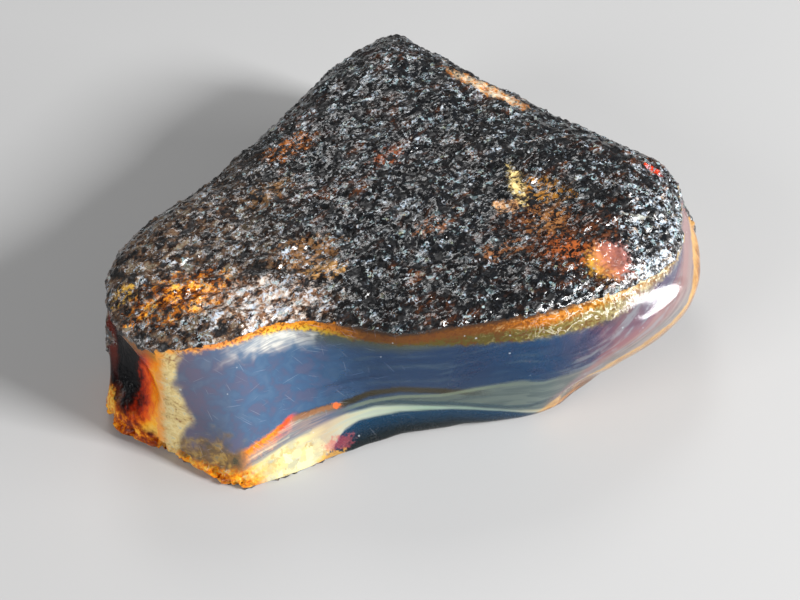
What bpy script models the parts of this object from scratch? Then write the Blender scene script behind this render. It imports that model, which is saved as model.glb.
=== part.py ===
"""Raw amber lump: a broad flat nodule in its dark weathered crust, with one long side cut and polished.

Metres, +Z up. The lump rests on its flat underside. X runs along the lump, and the polished side faces -Y.
The origin is under the middle of the lump, at the height of the flat underside.
"""
import math

import bmesh
import bpy
from mathutils import Vector, noise

MM = 0.001
PART_NAME = "amber_piece"

# Fineness of the net that the shape is worked in, and of the finished faces.
STEPS_AROUND = 320
RINGS_TOP = 60
RINGS_WALL = 44
RINGS_UNDER = 36
CURVE_STEPS = 40
LAST_WALL = RINGS_TOP + RINGS_WALL
FACES = 9400

# The middle of the crusted top, about which the rings run, and how far it swells above its rim.
CENTRE_X = 1.5
CENTRE_Y = 7.0
TOP_HEIGHT = 17.3
SHOULDER = 3.2

# Where the rim, waist, crease and heel fall in the wall's rings, as shares of the way down.
WALL_MARKS = (0.0, 0.45, 0.78, 1.0)

# Stations around the lump, anticlockwise from above, in millimetres:
# rim x, y, z | waist x, y, z | crease x, y, z | heel x, y, z | how far the resting face lies in from the heel
STATIONS = (
    # left front corner, where the broken end meets the polished side
    (-22.6, -12.9, 15.3, -22.9, -13.2, 9.0, -23.4, -13.4, 4.0, -23.9, -13.4, 0.9, 1.4),
    # polished side, left to right
    (-20.6, -13.2, 15.8, -21.0, -14.0, 9.0, -21.6, -14.4, 4.0, -21.9, -14.7, 0.8, 1.4),
    (-18.0, -13.0, 16.0, -18.2, -14.4, 9.0, -18.7, -15.4, 3.8, -18.9, -16.6, 0.7, 1.6),
    (-15.2, -12.2, 16.3, -15.4, -14.2, 9.0, -15.7, -15.8, 3.6, -15.9, -18.1, 0.7, 2.0),
    (-12.4, -10.9, 16.5, -12.6, -13.1, 9.0, -12.7, -14.8, 3.8, -12.8, -17.5, 0.8, 2.2),
    (-8.8, -10.3, 16.6, -8.9, -12.0, 9.0, -9.0, -13.1, 4.4, -9.0, -15.8, 0.8, 2.4),
    (-4.6, -11.0, 16.6, -4.8, -11.6, 9.4, -4.9, -11.9, 4.9, -5.0, -13.7, 0.9, 2.6),
    (0.0, -11.7, 16.6, 0.0, -11.6, 9.6, 0.0, -11.2, 5.2, 0.0, -12.0, 1.0, 2.8),
    (4.7, -11.1, 16.6, 4.8, -11.1, 9.6, 4.9, -10.7, 5.2, 5.0, -10.8, 1.0, 3.0),
    (9.3, -10.2, 16.5, 9.6, -10.4, 9.6, 9.8, -10.2, 5.2, 10.0, -10.1, 1.0, 3.2),
    (13.4, -9.2, 16.4, 14.0, -9.9, 9.6, 14.4, -9.8, 5.0, 14.6, -9.0, 1.0, 3.6),
    (17.2, -8.0, 16.2, 17.9, -9.1, 9.8, 18.3, -8.4, 5.0, 18.5, -6.2, 1.2, 4.0),
    (21.0, -6.5, 15.8, 21.8, -7.4, 10.0, 22.0, -5.9, 5.2, 21.7, -2.8, 1.6, 4.6),
    (24.9, -3.9, 15.2, 25.8, -4.7, 9.8, 25.8, -3.2, 5.2, 25.0, -0.2, 1.9, 5.0),
    # rounded nose
    (27.9, -0.8, 14.5, 29.3, -0.9, 9.4, 29.1, 0.6, 5.0, 27.9, 2.9, 2.1, 5.6),
    (29.6, 2.9, 14.0, 31.0, 3.6, 9.0, 30.7, 4.6, 4.8, 29.6, 6.0, 2.3, 6.4),
    (29.5, 7.2, 14.0, 30.9, 8.1, 8.8, 30.7, 8.6, 4.8, 29.8, 9.2, 2.4, 7.0),
    (28.6, 10.6, 14.0, 29.7, 11.6, 8.6, 29.5, 12.0, 4.8, 28.7, 12.2, 2.5, 7.4),
    (26.2, 14.0, 14.0, 27.3, 15.0, 8.4, 27.2, 15.3, 4.8, 26.5, 15.2, 2.5, 7.6),
    # broken edge at the back right
    (21.4, 17.3, 14.2, 22.3, 18.6, 8.2, 22.4, 18.8, 4.6, 21.9, 18.4, 2.3, 7.2),
    (15.2, 21.7, 14.3, 15.9, 23.2, 8.0, 16.0, 23.5, 4.5, 15.6, 23.0, 2.2, 6.8),
    (8.9, 26.8, 14.4, 9.6, 28.2, 8.0, 9.6, 28.4, 4.5, 9.2, 27.7, 2.2, 6.8),
    (3.6, 31.2, 14.2, 4.1, 32.4, 8.0, 4.0, 32.4, 4.6, 3.5, 31.5, 2.4, 7.4),
    # back corner
    (-1.0, 34.7, 13.8, -1.2, 35.9, 8.0, -1.4, 35.7, 4.7, -1.7, 34.5, 2.6, 8.6),
    # straight back left edge
    (-5.9, 30.4, 14.0, -7.0, 31.3, 8.0, -7.2, 31.1, 4.6, -7.0, 30.2, 2.4, 7.6),
    (-10.7, 23.4, 14.2, -12.1, 24.2, 8.0, -12.4, 24.0, 4.5, -12.2, 23.4, 2.2, 6.8),
    (-15.6, 15.6, 14.5, -17.2, 16.3, 8.0, -17.6, 16.2, 4.4, -17.4, 15.6, 2.1, 6.4),
    (-20.3, 8.6, 14.8, -22.0, 9.2, 8.2, -22.5, 9.0, 4.3, -22.3, 8.4, 2.0, 6.0),
    (-24.7, 3.9, 15.0, -26.3, 4.1, 8.4, -26.9, 3.7, 4.2, -27.0, 3.0, 1.8, 5.0),
    # broken left end
    (-27.7, -1.4, 15.0, -28.8, -2.0, 8.6, -29.4, -2.7, 4.0, -29.7, -3.2, 1.4, 3.6),
    (-28.0, -6.2, 14.9, -28.2, -7.4, 8.8, -29.3, -8.0, 4.0, -30.0, -8.5, 1.0, 2.4),
    (-25.8, -10.6, 15.1, -25.5, -10.6, 9.0, -26.8, -11.0, 4.2, -27.6, -11.6, 0.9, 1.8),
)

# Swells and lumps of the crust: height in millimetres, how far apart they come, where their pattern starts.
SWELL = 0.42
SWELL_APART = 9.0
SWELL_START = Vector((3.1, 7.7, 1.3))
LUMP = 0.34
LUMP_APART = 3.2
LUMP_START = Vector((11.0, 2.0, 5.0))

# The share of that relief on the walls, and at the rim, where it grows to its full height over some rings.
WALL_SHARE = 0.8
RIM_SHARE = 0.45
RIM_RINGS = 9

# The top's own ledges, ridge and pits, and the chips in the walls, fade out over this many rings at the rim.
TOP_EDGE_RINGS = 4

# Wavy ledges along the left end of the crusted top, which die out towards the right and the back.
LEDGE_HEIGHT = 0.20
LEDGE_APART = 2.1
LEDGE_SLANT = 0.16
LEDGE_WAVE = 4.0
WAVE_ALONG = 7.0
WAVE_ACROSS = 5.0
LEDGE_RIGHT_END = -6.0
LEDGE_RIGHT_FADE = 9.0
LEDGE_BACK_END = 1.0
LEDGE_BACK_FADE = 4.0

# Chips broken out of the walls: x, y, z, radius across the surface, depth
CHIPS = (
    # pocket in the left end
    (-26.6, -9.4, 8.6, 5.6, 1.9),
    (-28.9, -5.4, 3.0, 3.2, 0.6),
    # chips along the foot of the polished side
    (-20.0, -14.4, 5.0, 3.0, 0.35),
    (18.4, -7.6, 3.4, 3.0, 0.7),
    # bare chips in the back right edge
    (8.8, 27.4, 12.8, 4.6, 1.0),
    (4.2, 31.0, 11.2, 3.6, 0.8),
    (14.8, 22.8, 8.6, 5.4, 1.3),
    (21.6, 18.8, 6.0, 4.6, 0.9),
    (11.2, 26.6, 5.0, 4.2, 0.9),
    # the far walls
    (-11.6, 25.0, 6.4, 5.6, 1.0),
    (-17.6, 16.4, 8.6, 3.6, 0.5),
    (-21.6, 9.8, 5.4, 5.0, 0.9),
    (-3.6, 33.8, 5.8, 4.0, 0.9),
    (30.8, 8.6, 6.0, 4.2, 0.6),
    (-29.0, -0.6, 7.4, 3.8, 0.8),
)

# Pits in the crusted top, and in the underside outside the resting face: x, y, radius, depth
TOP_PITS = (
    (20.1, -3.0, 2.0, 0.50),
    (13.9, 5.6, 2.8, 0.40),
    (16.4, 2.4, 1.8, 0.30),
    (-8.4, -2.7, 2.6, 0.45),
    (-18.2, -8.1, 2.2, 0.40),
    (25.4, 2.6, 3.2, 0.35),
    (2.0, 23.0, 3.0, 0.45),
    (-9.0, 12.0, 3.4, 0.35),
    (6.0, 4.0, 2.6, 0.30),
    (9.6, -4.6, 2.2, 0.35),
    (-1.6, -5.8, 2.4, 0.30),
    (8.4, 20.6, 2.4, 0.40),
    (-15.2, 3.6, 2.6, 0.30),
)
UNDER_PITS = (
    (-13.0, -4.0, 3.0, 0.5),
    (-16.6, 0.6, 2.2, 0.4),
    (16.0, 9.6, 3.4, 0.6),
    (11.4, 13.6, 2.2, 0.4),
    (-4.4, 20.6, 3.2, 0.6),
    (14.6, -1.4, 2.6, 0.4),
    (1.6, 24.4, 2.0, 0.4),
    (-9.8, -11.2, 2.0, 0.3),
)

# Short curved ridge on the right of the crusted top: points along it, width and height
RIDGE = ((17.6, 0.8), (19.0, 2.0), (20.6, 2.7), (22.8, 3.1))
RIDGE_WIDTH = 0.9
RIDGE_HEIGHT = 0.35

# The polished window on the long side: its first and last place, counted in stations, and its soft borders.
WINDOW_FROM = 0.35
WINDOW_TO = 15.6
WINDOW_LEFT_FADE = 0.6
WINDOW_RIGHT_FADE = 2.0
WINDOW_RINGS_FADE = 1.5

# The underside turns up over this many rings outside its flat resting face, bent like this and uneven.
TURN_RINGS = 14
TURN_INWARD = 1.4
TURN_DOWN = 1.8
UNDER_UNEVEN = 0.45
UNDER_LUMPS_APART = 2.6

# What lies lower than this belongs to the flat resting face.
FLAT_TOLERANCE = 0.03

AMBER_COLOUR = (0.10, 0.055, 0.035, 1.0)
AMBER_ROUGHNESS = 0.4
AMBER_IOR = 1.54


def clear_scene():
    for leftover in list(bpy.data.objects):
        bpy.data.objects.remove(leftover, do_unlink=True)


def new_collection(name):
    collection = bpy.data.collections.new(name)
    bpy.context.scene.collection.children.link(collection)
    return collection


def amber_material():
    material = bpy.data.materials.new("amber")
    material.use_nodes = True
    shader = material.node_tree.nodes["Principled BSDF"]
    shader.inputs["Base Color"].default_value = AMBER_COLOUR
    shader.inputs["Metallic"].default_value = 0.0
    shader.inputs["Roughness"].default_value = AMBER_ROUGHNESS
    shader.inputs["IOR"].default_value = AMBER_IOR
    material.diffuse_color = AMBER_COLOUR
    return material


def smooth(low, high, value):
    share = min(1.0, max(0.0, (value - low) / (high - low)))
    return share * share * (3.0 - 2.0 * share)


def between(a, b, c, d, t):
    """Catmull-Rom curve from b to c, with a and d as the points outside them."""
    return 0.5 * (2.0 * b + (c - a) * t + (2.0 * a - 5.0 * b + 4.0 * c - d) * t * t
                  + (3.0 * b - a - 3.0 * c + d) * t * t * t)


def around(row, place):
    """Point on the closed curve through a row's points, at a place counted in stations."""
    start = math.floor(place)
    a, b, c, d = (row[(start + step) % len(row)] for step in (-1, 0, 1, 2))
    return between(a, b, c, d, place - start)


def rows_of_stations():
    """The rim, waist, crease and heel as rows of points, and the insets of the resting face as numbers."""
    rows = [[Vector(station[column:column + 3]) for station in STATIONS] for column in (0, 3, 6, 9)]
    insets = [station[12] for station in STATIONS]
    return rows, insets


def even_places(row, count):
    """Places along the closed row that lie evenly apart."""
    fine = CURVE_STEPS * len(row)
    places = [len(row) * step / fine for step in range(fine + 1)]
    lengths = [0.0]
    for before, after in zip(places, places[1:]):
        lengths.append(lengths[-1] + (around(row, after) - around(row, before)).length)
    chosen = []
    index = 0
    for step in range(count):
        wanted = lengths[-1] * step / count
        while lengths[index + 1] < wanted:
            index += 1
        share = (wanted - lengths[index]) / (lengths[index + 1] - lengths[index])
        chosen.append(places[index] + share * (places[index + 1] - places[index]))
    return chosen


def wall_point(rows, place, down):
    """Point on the wall: down is 0 at the rim and 1 at the heel."""
    rim, waist, crease, heel = (around(row, place) for row in rows)
    points = (rim * 2.0 - waist, rim, waist, crease, heel, heel * 2.0 - crease)
    part = 0
    while part < 2 and down > WALL_MARKS[part + 1]:
        part += 1
    t = (down - WALL_MARKS[part]) / (WALL_MARKS[part + 1] - WALL_MARKS[part])
    return between(*points[part:part + 4], t)


def top_point(rim, centre, out):
    """Point on the top: out is 0 at its middle and 1 at the rim."""
    edge = Vector((rim.x, rim.y, 0.0))
    point = centre.lerp(edge, out)
    rise = 1.0 - math.exp(-(edge - point).length / SHOULDER)
    point.z = rim.z + (TOP_HEIGHT - rim.z) * rise
    return point


def under_point(heel, inset, centre, ring):
    """Point on the underside: it turns down from the heel to the resting face, then runs to the middle."""
    edge = Vector((heel.x, heel.y, 0.0))
    foot = edge + (centre - edge).normalized() * inset
    if ring < TURN_RINGS:
        bend = ring / TURN_RINGS
        point = edge.lerp(foot, bend ** TURN_INWARD)
        point.z = heel.z * (1.0 - bend) ** TURN_DOWN
        return point
    return foot.lerp(centre, (ring - TURN_RINGS) / (RINGS_UNDER - TURN_RINGS))


def lump_point(rows, insets, place, ring):
    """Where the point of the net at this place around and this ring down lies."""
    centre = Vector((CENTRE_X, CENTRE_Y, 0.0))
    if ring <= RINGS_TOP:
        return top_point(wall_point(rows, place, 0.0), centre, ring / RINGS_TOP)
    if ring <= LAST_WALL:
        return wall_point(rows, place, (ring - RINGS_TOP) / RINGS_WALL)
    return under_point(wall_point(rows, place, 1.0), around(insets, place), centre, ring - LAST_WALL)


def shape_net(mesh_edit, rows, insets):
    """Set the points of a plain sphere net onto the lump's rings and note where each one lies."""
    rings = LAST_WALL + RINGS_UNDER
    bmesh.ops.create_uvsphere(mesh_edit, u_segments=STEPS_AROUND, v_segments=rings, radius=1.0)
    places = even_places(rows[1], STEPS_AROUND)
    notes = {}
    for vertex in mesh_edit.verts:
        ring = round(math.acos(max(-1.0, min(1.0, vertex.co.z))) / math.pi * rings)
        angle = math.atan2(vertex.co.y, vertex.co.x) % (2.0 * math.pi)
        step = round(angle / (2.0 * math.pi) * STEPS_AROUND) % STEPS_AROUND
        notes[vertex] = (places[step], ring)
        vertex.co = lump_point(rows, insets, places[step], ring)
    mesh_edit.normal_update()
    return notes


def window_share(place, ring):
    """1 on the polished window, 0 on the crust."""
    left = smooth(WINDOW_FROM - WINDOW_LEFT_FADE, WINDOW_FROM + WINDOW_LEFT_FADE, place)
    right = 1.0 - smooth(WINDOW_TO - WINDOW_RIGHT_FADE, WINDOW_TO, place)
    below_rim = smooth(0.0, 2.0 * WINDOW_RINGS_FADE, ring - RINGS_TOP + 1.0)
    above_heel = 1.0 - smooth(0.0, 2.0 * WINDOW_RINGS_FADE, ring - LAST_WALL)
    return left * right * below_rim * above_heel


def crust_height(point):
    """Broad swells and lumps of the crust at a point."""
    broad = noise.noise(point / SWELL_APART + SWELL_START)
    lumps = noise.noise(point / LUMP_APART + LUMP_START)
    return SWELL * broad + LUMP * lumps


def top_height(point):
    """What stands up from or is sunk into the crusted top alone: ledges, ridge and pits."""
    wave = noise.noise(Vector((point.x / WAVE_ALONG, point.y / WAVE_ACROSS, 0.0)))
    step = (point.y - LEDGE_SLANT * point.x) / LEDGE_APART
    ledge = math.sin(2.0 * math.pi * step + LEDGE_WAVE * wave)
    ledge *= 1.0 - smooth(LEDGE_RIGHT_END - LEDGE_RIGHT_FADE, LEDGE_RIGHT_END, point.x)
    ledge *= 1.0 - smooth(LEDGE_BACK_END - LEDGE_BACK_FADE, LEDGE_BACK_END, point.y)
    place = Vector((point.x, point.y))
    gap = min(distance_to_piece(place, Vector(a), Vector(b)) for a, b in zip(RIDGE, RIDGE[1:]))
    ridge = RIDGE_HEIGHT * (1.0 - smooth(0.0, RIDGE_WIDTH, gap))
    return LEDGE_HEIGHT * ledge + ridge - dish(place, TOP_PITS)


def distance_to_piece(place, start, end):
    share = (place - start).dot(end - start) / (end - start).length_squared
    return (place - start.lerp(end, min(1.0, max(0.0, share)))).length


def dish(point, hollows):
    """Depth at a point of the deepest of the round hollows, whose last two numbers are radius and depth."""
    depth = 0.0
    for *middle, radius, deep in hollows:
        near = (point - Vector(middle)).length / radius
        if near < 1.0:
            depth = max(depth, deep * (1.0 - near * near))
    return depth


def worked_point(vertex, place, ring):
    """Where a point of the net goes once the crust is raised and the chips and pits are cut."""
    point = vertex.co.copy()
    plan = Vector((point.x, point.y))
    crust = 1.0 - window_share(place, ring)
    relief = RIM_SHARE + (1.0 - RIM_SHARE) * smooth(0.0, RIM_RINGS, abs(ring - RINGS_TOP))
    above_rest = 1.0 - smooth(LAST_WALL, LAST_WALL + TURN_RINGS, ring)
    if ring > RINGS_TOP:
        relief *= WALL_SHARE
    result = point + vertex.normal * crust_height(point) * crust * relief * above_rest
    if ring < RINGS_TOP:
        result.z += top_height(point) * smooth(0.0, TOP_EDGE_RINGS, RINGS_TOP - ring)
    if ring > RINGS_TOP - TOP_EDGE_RINGS:
        result -= vertex.normal * dish(point, CHIPS) * above_rest
    if ring > LAST_WALL:
        uneven = abs(noise.noise(point / UNDER_LUMPS_APART)) * smooth(LAST_WALL, LAST_WALL + 3, ring)
        result.z += UNDER_UNEVEN * uneven * above_rest
        result.z += dish(plan, UNDER_PITS) * (1.0 - above_rest)
    return result


def work_surface(notes):
    """Raise the crust and cut the chips, keeping the resting face flat and the window smooth."""
    places = {vertex: worked_point(vertex, *note) for vertex, note in notes.items()}
    for vertex, place in places.items():
        vertex.co = place


def thin_faces(lump):
    """Spend the faces where the surface is uneven."""
    modifier = lump.modifiers.new("spend faces", "DECIMATE")
    modifier.ratio = FACES / sum(len(face.vertices) - 2 for face in lump.data.polygons)
    modifier.use_collapse_triangulate = True
    graph = bpy.context.evaluated_depsgraph_get()
    lump.data = bpy.data.meshes.new_from_object(lump.evaluated_get(graph))
    lump.modifiers.remove(modifier)


def settle(lump):
    """Put the origin under the middle of the lump and turn millimetres into metres."""
    mesh_edit = bmesh.new()
    mesh_edit.from_mesh(lump.data)
    xs = [vertex.co.x for vertex in mesh_edit.verts]
    ys = [vertex.co.y for vertex in mesh_edit.verts]
    middle = Vector(((min(xs) + max(xs)) / 2.0, (min(ys) + max(ys)) / 2.0, 0.0))
    for vertex in mesh_edit.verts:
        if vertex.co.z < FLAT_TOLERANCE:
            vertex.co.z = 0.0
        vertex.co = (vertex.co - middle) * MM
    bmesh.ops.recalc_face_normals(mesh_edit, faces=mesh_edit.faces)
    mesh_edit.to_mesh(lump.data)
    mesh_edit.free()


def build_lump(collection):
    rows, insets = rows_of_stations()
    mesh_edit = bmesh.new()
    notes = shape_net(mesh_edit, rows, insets)
    work_surface(notes)
    lump = bpy.data.objects.new(PART_NAME, bpy.data.meshes.new(PART_NAME))
    mesh_edit.to_mesh(lump.data)
    mesh_edit.free()
    collection.objects.link(lump)
    thin_faces(lump)
    settle(lump)
    lump.data.name = PART_NAME
    lump.data.materials.append(amber_material())
    return lump


clear_scene()
build_lump(new_collection(PART_NAME))
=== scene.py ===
"""A raw amber lump in its dark granular crust, with one polished side. All guide sizes are in millimetres."""
import math
import bmesh
import bpy
import numpy as np
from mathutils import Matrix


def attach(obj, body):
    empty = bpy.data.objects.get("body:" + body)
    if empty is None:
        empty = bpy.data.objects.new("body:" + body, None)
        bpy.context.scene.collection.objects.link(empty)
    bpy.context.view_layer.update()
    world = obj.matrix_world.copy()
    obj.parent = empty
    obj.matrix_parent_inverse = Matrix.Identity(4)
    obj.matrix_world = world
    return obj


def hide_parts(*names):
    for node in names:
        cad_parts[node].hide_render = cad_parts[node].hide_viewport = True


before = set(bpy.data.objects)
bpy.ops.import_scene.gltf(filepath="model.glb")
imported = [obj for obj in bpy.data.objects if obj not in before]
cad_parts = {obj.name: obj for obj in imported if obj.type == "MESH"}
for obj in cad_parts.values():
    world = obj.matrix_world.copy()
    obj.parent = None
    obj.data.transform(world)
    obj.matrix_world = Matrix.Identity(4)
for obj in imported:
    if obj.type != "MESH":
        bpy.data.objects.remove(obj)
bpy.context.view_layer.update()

MM = 0.001  # a millimetre in the frame's metres
NODE = "amber_piece"

# ---- guide lines on the stone, in the frame of the part ----

# The border between the crust on top and the polished side, from the left corner round the right end.
RIM = [
    (-23.1, -21.9, 15.3), (-21.1, -22.2, 15.8), (-18.5, -22.0, 16.0), (-15.7, -21.2, 16.3),
    (-12.9, -19.9, 16.5), (-9.3, -19.3, 16.6), (-5.1, -20.0, 16.6), (-0.5, -20.7, 16.3), (4.2, -20.1, 16.6),
    (8.8, -19.2, 16.5), (12.9, -18.2, 16.4), (16.7, -17.0, 16.2), (20.5, -15.5, 15.8), (24.4, -12.9, 15.2),
    (27.4, -9.8, 14.5), (29.1, -6.1, 14.0), (29.0, -1.8, 14.0), (28.6, 1.5, 14.0),
]
CORNER_TOP = (-23.1, 15.3)  # x, z of the left corner of the polished side
CORNER_FOOT = (-24.4, 0.9)
POLISH_END = 1.0  # the y where the polish fades out round the right end
END_BACK = -12.8  # the y where the broken left end meets the crusted back
END_TOP = 14.9  # the height where the crust begins above the broken left end

# Lines in the polished side, each a list of (x, z).
ORANGE_FOOT = [
    (-23.0, 15.2), (-19.0, 15.5), (-16.0, 15.6), (-14.4, 15.6), (-11.7, 15.6), (-9.8, 15.5), (-7.0, 15.2),
    (-4.2, 14.8), (-0.5, 14.6), (3.3, 14.1), (7.0, 13.5), (10.9, 13.2), (14.7, 13.2), (18.6, 13.0),
    (21.6, 12.9), (24.7, 13.1), (29.5, 12.6),
]
SEAM = [
    (-24.0, 0.0), (-18.0, 1.6), (-16.4, 2.7), (-15.0, 3.4), (-13.9, 3.8), (-12.5, 4.4), (-11.0, 5.4),
    (-9.2, 5.6), (-6.6, 6.0), (-5.1, 6.5), (-3.4, 7.4), (-0.5, 7.9), (3.4, 7.1), (7.3, 6.2), (12.0, 5.4),
    (16.0, 5.0), (30.0, 8.0),
]
HAZE_TOP = [
    (-24.0, 0.0), (-8.0, 5.0), (-5.4, 5.9), (-3.4, 6.5), (-0.5, 6.9), (3.4, 6.6), (7.3, 7.2), (11.2, 7.6),
    (13.6, 7.4), (18.0, 8.4), (22.0, 10.0), (26.0, 11.6), (30.0, 13.0),
]
TEAL = [
    (-10.0, 5.4), (-2.4, 6.0), (0.5, 5.4), (4.4, 4.7), (7.4, 4.0), (10.1, 3.3), (12.4, 3.2), (13.9, 3.7),
    (18.0, 6.0), (30.0, 12.0),
]
CREAM_TOP = [
    (-24.0, 0.4), (-16.5, 1.8), (-14.6, 2.5), (-11.2, 3.5), (-8.3, 4.1), (-5.4, 4.9), (-2.9, 5.4),
    (-0.5, 5.2), (4.4, 4.3), (9.4, 3.1), (13.5, 2.2), (20.0, 2.0), (30.0, 2.0),
]
CREAM_FOOT = [
    (-24.0, -2.0), (-9.5, -0.5), (-7.9, 1.1), (-6.9, 1.9), (-5.9, 3.1), (-4.4, 3.8), (-2.5, 4.0), (-0.5, 4.2),
    (4.4, 3.8), (9.5, 2.8), (13.6, 1.5), (20.0, 1.5), (30.0, 1.5),
]
FRINGE = [
    (-24.0, -1.0), (8.0, -0.4), (13.0, 0.7), (15.6, 3.6), (18.0, 5.8), (20.3, 6.6), (22.5, 7.0), (24.5, 7.8),
    (26.5, 8.0), (28.1, 8.8), (29.1, 10.0), (30.0, 11.6),
]
BLUSH = [
    (13.0, 2.0), (15.4, 4.2), (17.2, 6.6), (19.0, 8.7), (20.9, 9.9), (22.9, 10.2), (26.0, 11.0), (30.0, 12.0),
]

# The inner border of the cream strip at the left corner, as (z, x).
LEFT_CREAM = [
    (0.0, -22.9), (2.4, -22.4), (4.3, -21.6), (7.4, -20.7), (9.5, -20.8), (12.0, -21.3), (14.8, -21.0),
    (18.0, -21.0),
]

# ---- the lump's mesh ----

CELL = 0.19  # voxel of the first fine skin
FACES = 195000  # triangles of the finished skin
SMOOTH_ROUNDS = 80
SHOULDER_ROUNDS = 260
SHOULDER_IN = 1.3  # how far the border is drawn in at the right end
SHOULDER_DOWN = 1.0
BROKEN_WAY = (-0.57, -0.822)  # the way the broken left end faces, in plan
BROKEN_OUT = 31.7  # how far out that way its foot lies


def copy_of_solid():
    """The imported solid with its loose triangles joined, as a new object."""
    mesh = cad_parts[NODE].data.copy()
    mesh.materials.clear()
    joined = bmesh.new()
    joined.from_mesh(mesh)
    bmesh.ops.remove_doubles(joined, verts=joined.verts, dist=0.001 * MM)
    joined.to_mesh(mesh)
    joined.free()
    lump = bpy.data.objects.new("amber_lump", mesh)
    bpy.context.scene.collection.objects.link(lump)
    return lump


def settle(thing):
    """Turns an object's modifiers into its plain mesh."""
    graph = bpy.context.evaluated_depsgraph_get()
    mesh = bpy.data.meshes.new_from_object(thing.evaluated_get(graph))
    thing.modifiers.clear()
    old = thing.data
    thing.data = mesh
    bpy.data.meshes.remove(old)


def points_of(mesh):
    """The mesh's vertices in millimetres."""
    flat = np.empty(len(mesh.vertices) * 3)
    mesh.vertices.foreach_get("co", flat)
    return flat.reshape(-1, 3) / MM


def put_points(mesh, points):
    mesh.vertices.foreach_set("co", (points * MM).ravel())
    mesh.update()


def nearest_on(points, line):
    """The nearest spot on a line: how far, which way, how far along, and the line's heading there."""
    line = np.array(line)
    steps = np.diff(line, axis=0)
    lengths = np.linalg.norm(steps, axis=1)
    starts = np.concatenate([[0.0], np.cumsum(lengths)[:-1]])
    best = np.full(len(points), np.inf)
    offset = np.zeros((len(points), 3))
    along = np.zeros(len(points))
    heading = np.zeros((len(points), 3))
    for start, step, length, begun in zip(line[:-1], steps, lengths, starts):
        share = np.clip((points - start) @ step / length**2, 0.0, 1.0)
        gap = points - (start + share[:, None] * step)
        far = np.linalg.norm(gap, axis=1)
        closer = far < best
        best[closer] = far[closer]
        offset[closer] = gap[closer]
        along[closer] = begun + share[closer] * length
        heading[closer] = step / length
    return best, offset, along, heading


def rim_guides(points, line):
    """Distance to the border, positive on the polish, length along it and the way out of the stone there."""
    far, offset, along, heading = nearest_on(points, line)
    inward = np.stack([-heading[:, 1], heading[:, 0], np.ones(len(points))], 1)
    rim = np.where((offset * inward).sum(1) > 0.0, -far, far)
    outward = np.stack([heading[:, 1], -heading[:, 0]], 1)
    outward /= np.linalg.norm(outward, axis=1)[:, None] + 1e-9
    return rim, along, outward


def eased(values, low, high):
    share = np.clip((values - low) / (high - low), 0.0, 1.0)
    return share * share * (3.0 - 2.0 * share)


def slump(points):
    """The right end's border drawn in and down, so that the polish rolls over in a broad shoulder."""
    rim, _, outward = rim_guides(points, RIM)
    share = eased(points[:, 0], 11.0, 23.0) * np.where(rim < 0.0, eased(rim, -9.0, 0.0), eased(rim, 5.0, 0.6))
    share *= eased(points[:, 1], 4.0, -4.0)
    move = np.column_stack([-outward * SHOULDER_IN, np.full(len(points), -SHOULDER_DOWN)])
    return points + share[:, None] * move


def guides_of(mesh):
    """Writes the guides that the relief and the material read, as one number per vertex, in millimetres."""
    points = points_of(mesh)
    x, y, z = points.T
    rim, along, _ = rim_guides(points, slump(np.array(RIM)))
    corner_x = np.interp(z, [CORNER_FOOT[1], CORNER_TOP[1]], [CORNER_FOOT[0], CORNER_TOP[0]])
    corner = x - corner_x
    polish_end = POLISH_END + 1.6 * np.sin(0.5 * z)
    end_back = END_BACK + 1.2 * np.sin(0.5 * z + 1.0) + 0.5 * np.sin(1.4 * z)
    guides = {
        "rim": rim,
        "corner": corner,
        "along": along,
        "polish": np.minimum.reduce([rim, corner, polish_end - y, (z - 0.2) * 2.0]),
        "end": np.minimum.reduce([1.2 - corner, end_back - y, END_TOP - z, z * 2.0]),
        "seam": z - np.interp(x, *np.transpose(SEAM)),
        "fringe": z - np.interp(x, *np.transpose(FRINGE)),
        "blush": z - np.interp(x, *np.transpose(BLUSH)),
        "orange_foot": z - np.interp(x, *np.transpose(ORANGE_FOOT)),
        "haze_top": z - np.interp(x, *np.transpose(HAZE_TOP)),
        "teal": z - np.interp(x, *np.transpose(TEAL)),
        "cream_top": z - np.interp(x, *np.transpose(CREAM_TOP)),
        "cream_foot": z - np.interp(x, *np.transpose(CREAM_FOOT)),
        "left_cream": x - np.interp(z, *np.transpose(LEFT_CREAM)),
    }
    for name, values in guides.items():
        if name in mesh.attributes:
            mesh.attributes.remove(mesh.attributes[name])
        made = mesh.attributes.new(name, "FLOAT", "POINT")
        made.data.foreach_set("value", values.astype(np.float32))
    return guides


# ---- wiring of node trees ----


class Tap:
    """One output of a node, which takes part in plain arithmetic."""

    def __init__(self, bench, socket):
        self.bench = bench
        self.socket = socket

    def _sum(self, operation, a, b):
        return self.bench.node("ShaderNodeMath", {"operation": operation}, (a, b))

    def __add__(self, other):
        return self._sum("ADD", self, other)

    def __sub__(self, other):
        return self._sum("SUBTRACT", self, other)

    def __rsub__(self, other):
        return self._sum("SUBTRACT", other, self)

    def __mul__(self, other):
        return self._sum("MULTIPLY", self, other)

    def __truediv__(self, other):
        return self._sum("DIVIDE", self, other)

    def __rtruediv__(self, other):
        return self._sum("DIVIDE", other, self)

    def __abs__(self):
        return self._sum("ABSOLUTE", self, 0.0)

    __radd__ = __add__
    __rmul__ = __mul__

    def other(self, name):
        """Another output of the same node."""
        return Tap(self.bench, self.socket.node.outputs[name])


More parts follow.
